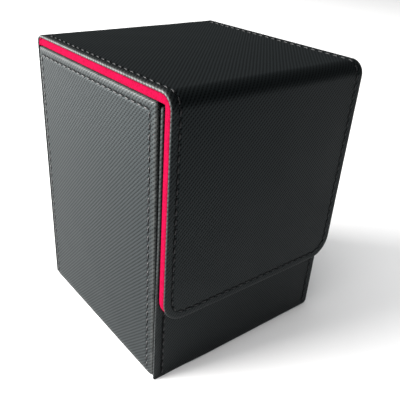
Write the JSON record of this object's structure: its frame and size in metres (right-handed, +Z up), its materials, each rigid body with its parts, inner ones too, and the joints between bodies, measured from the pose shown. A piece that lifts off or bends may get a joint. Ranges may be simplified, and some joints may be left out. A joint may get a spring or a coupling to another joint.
{
  "type": "card deck box",
  "caption": "Upright flip-lid box for trading cards: stiff boards wrapped in black ribbed leatherette, red lining, hinged lid whose front flap is held by magnets.",
  "frame": {"origin": "middle of the bottom of the closed box's outline, on the surface that it stands on", "axes": "+X to the right seen from the front, -Y out of the front, +Z up"},
  "size_m": [0.079, 0.0826, 0.1041],
  "materials": {
    "black_leatherette": "satin, embossed with fine diagonal ribs",
    "red_microfibre": "matt, short felt-like nap",
    "greyboard": "matt grey board",
    "magnet_plating": "nickel plating",
    "black_thread": "twisted polyester sewing thread"
  },
  "bodies": {
    "root": {"base_cover": "black_leatherette", "back_cover": "black_leatherette", "front_panel_cover": "black_leatherette", "spine_cover": "black_leatherette", "left_side_cover": "black_leatherette", "right_side_cover": "black_leatherette", "floor_lining": "red_microfibre", "back_lining": "red_microfibre", "front_lining": "red_microfibre", "left_side_lining": "red_microfibre", "right_side_lining": "red_microfibre", "hinge_lining": "red_microfibre", "bottom_board": "greyboard", "back_board": "greyboard", "front_board": "greyboard", "left_side_board": "greyboard", "right_side_board": "greyboard", "front_magnets": "magnet_plating", "left_side_stitching": "black_thread", "right_side_stitching": "black_thread", "front_panel_stitching": "black_thread"},
    "lid": {"lid_board": "greyboard", "lid_cover": "black_leatherette", "lid_lining": "red_microfibre", "lid_stitching": "black_thread", "fold_cover": "black_leatherette", "fold_lining": "red_microfibre", "fold_stitching": "black_thread"},
    "flap": {"flap_board": "greyboard", "flap_cover": "black_leatherette", "flap_lining": "red_microfibre", "flap_magnets": "magnet_plating", "flap_stitching": "black_thread"}
  },
  "joints": [
    {"name": "lid_hinge", "type": "hinge", "parent": "root", "child": "lid", "pos_m": [0, 0.04066, 0.10346], "axis": [-1, 0, 0], "range_deg": [0, 175], "deforming": ["spine_cover", "hinge_lining"]},
    {"name": "flap_fold", "type": "hinge", "parent": "lid", "child": "flap", "pos_m": [0, -0.04023, 0.10303], "axis": [-1, 0, 0], "range_deg": [0, 90], "stiffness_Nm_per_rad": 0.004, "deforming": ["fold_cover", "fold_lining", "fold_stitching"]}
  ]
}
